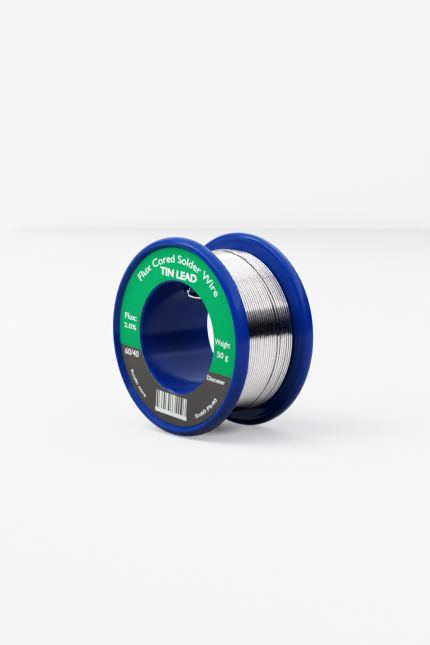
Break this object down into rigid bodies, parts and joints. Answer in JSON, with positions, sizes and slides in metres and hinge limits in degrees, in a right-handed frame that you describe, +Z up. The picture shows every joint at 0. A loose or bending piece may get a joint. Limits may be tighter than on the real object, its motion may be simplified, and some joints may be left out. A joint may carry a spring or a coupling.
{
  "type": "solder wire spool",
  "caption": "Small plastic reel with two round flanges and an open bore, wound with flux-cored solder wire and labelled on its front flange.",
  "frame": {"origin": "centre of the bore, half way between the two flanges; the spool stands on its rims, 21.5 mm below", "axes": "+Z up, +Y along the spool's axis from the labelled front flange to the plain rear flange, +X to the right seen from the front"},
  "size_m": [0.043, 0.0222, 0.043],
  "materials": {
    "spool_plastic": "glossy moulded royal-blue plastic",
    "label_print": "satin printed film, green over dark grey with white print",
    "solder": "bright drawn tin-lead solder",
    "flux": "amber rosin"
  },
  "bodies": {
    "root": {"spool_body": "spool_plastic", "front_label": "label_print", "solder_layer_1": "solder", "solder_layer_2": "solder", "solder_layer_3": "solder", "solder_layer_4": "solder", "solder_layer_5": "solder", "solder_layer_6": "solder", "solder_layer_7": "solder", "solder_layer_8": "solder", "solder_start_tail": "solder", "start_flux_core": "flux", "solder_outer_end": "solder", "outer_flux_core": "flux"}
  },
  "joints": []
}
